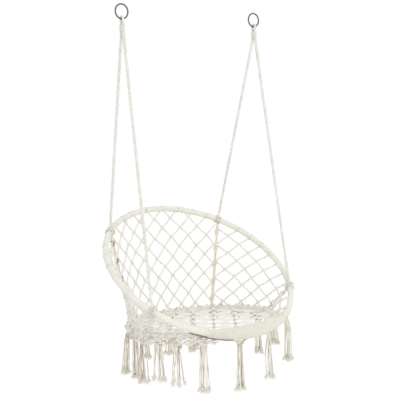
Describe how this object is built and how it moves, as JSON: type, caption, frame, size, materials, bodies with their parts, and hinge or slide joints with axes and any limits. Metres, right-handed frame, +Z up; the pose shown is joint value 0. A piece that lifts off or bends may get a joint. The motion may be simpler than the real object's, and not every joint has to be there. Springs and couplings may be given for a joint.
{
  "type": "hammock chair",
  "caption": "Macrame hammock chair: a tilted wrapped hoop on four ropes and two rings, with a net, a web seat in a smaller hoop and a tassel fringe.",
  "frame": {"origin": "midway between the two places where the steel rings rest on their hooks, which are the inner tops of the rings' wires", "axes": "+Z up, along the line in which the chair hangs; +Y to the back of the chair; +X to the right as seen from the front"},
  "size_m": [0.7976, 0.6731, 1.456],
  "materials": {
    "ring_steel": "satin",
    "tube_steel": "satin",
    "rope": "matte",
    "wrapping": "matte",
    "netting": "matte",
    "tassel": "matte"
  },
  "bodies": {
    "rings": {"left_ring": "ring_steel", "right_ring": "ring_steel"},
    "chair": {"left_rope_eye": "rope", "right_rope_eye": "rope", "left_eye_whipping": "rope", "right_eye_whipping": "rope", "front_left_rope": "rope", "back_left_rope": "rope", "front_right_rope": "rope", "back_right_rope": "rope", "hoop_tube": "tube_steel", "seat_tube": "tube_steel", "hoop_wrapping": "wrapping", "seat_wrapping": "wrapping", "front_left_hitch": "rope", "back_left_hitch": "rope", "front_right_hitch": "rope", "back_right_hitch": "rope", "front_left_seat_hitch": "rope", "back_left_seat_hitch": "rope", "front_right_seat_hitch": "rope", "back_right_seat_hitch": "rope", "front_lashing_1": "rope", "front_lashing_2": "rope", "front_lashing_3": "rope", "front_left_sinnet": "netting", "back_left_sinnet": "netting", "front_right_sinnet": "netting", "back_right_sinnet": "netting", "back_net": "netting", "left_net": "netting", "right_net": "netting", "front_left_net": "netting", "front_right_net": "netting", "seat_web": "netting", "tassel_01": "tassel", "tassel_02": "tassel", "tassel_03": "tassel", "tassel_04": "tassel", "tassel_05": "tassel", "tassel_06": "tassel", "tassel_07": "tassel", "tassel_08": "tassel", "tassel_09": "tassel", "tassel_10": "tassel", "tassel_11": "tassel", "tassel_12": "tassel", "tassel_13": "tassel", "tassel_14": "tassel"}
  },
  "joints": [
    {"name": "swing", "type": "hinge", "parent": "rings", "child": "chair", "pos_m": [0, 0, -0.051], "axis": [1, 0, 0], "range_deg": [-30, 30]}
  ]
}
